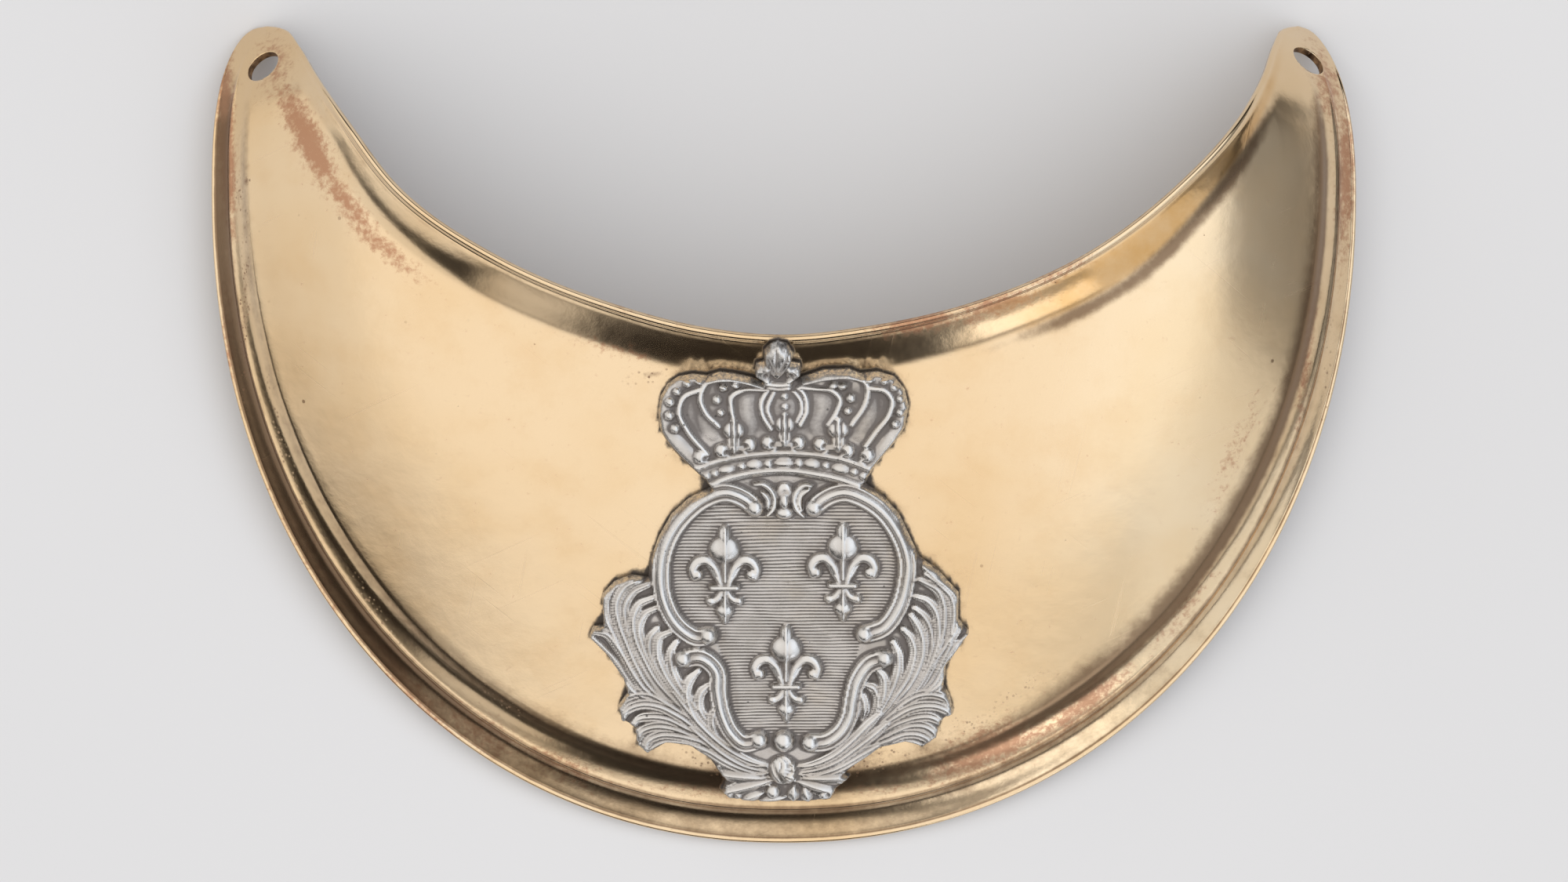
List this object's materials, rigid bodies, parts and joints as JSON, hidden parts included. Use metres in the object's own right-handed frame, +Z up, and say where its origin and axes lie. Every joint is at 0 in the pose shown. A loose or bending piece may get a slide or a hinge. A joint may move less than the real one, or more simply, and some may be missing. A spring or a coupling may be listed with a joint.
{
  "type": "officer's gorget",
  "caption": "Crescent gorget of raised gilt brass sheet with a moulded border, a flanged neck edge, holes in the horns for a ribbon, and a cast silver badge of crowned arms between palm sprays.",
  "frame": {"origin": "middle of the bounding box in X and Y, on the table that the gorget lies on, at its lowest points", "axes": "+X across the gorget from horn to horn, +Y from its foot to its horns, +Z up out of its face"},
  "size_m": [0.1456, 0.1048, 0.0291],
  "materials": {
    "gilt_brass": "worn gilding over polished brass, with reddish copper wear and brown tarnish in the coves",
    "cast_silver": null
  },
  "bodies": {
    "root": {"plate": "gilt_brass", "badge": "cast_silver"}
  },
  "joints": []
}
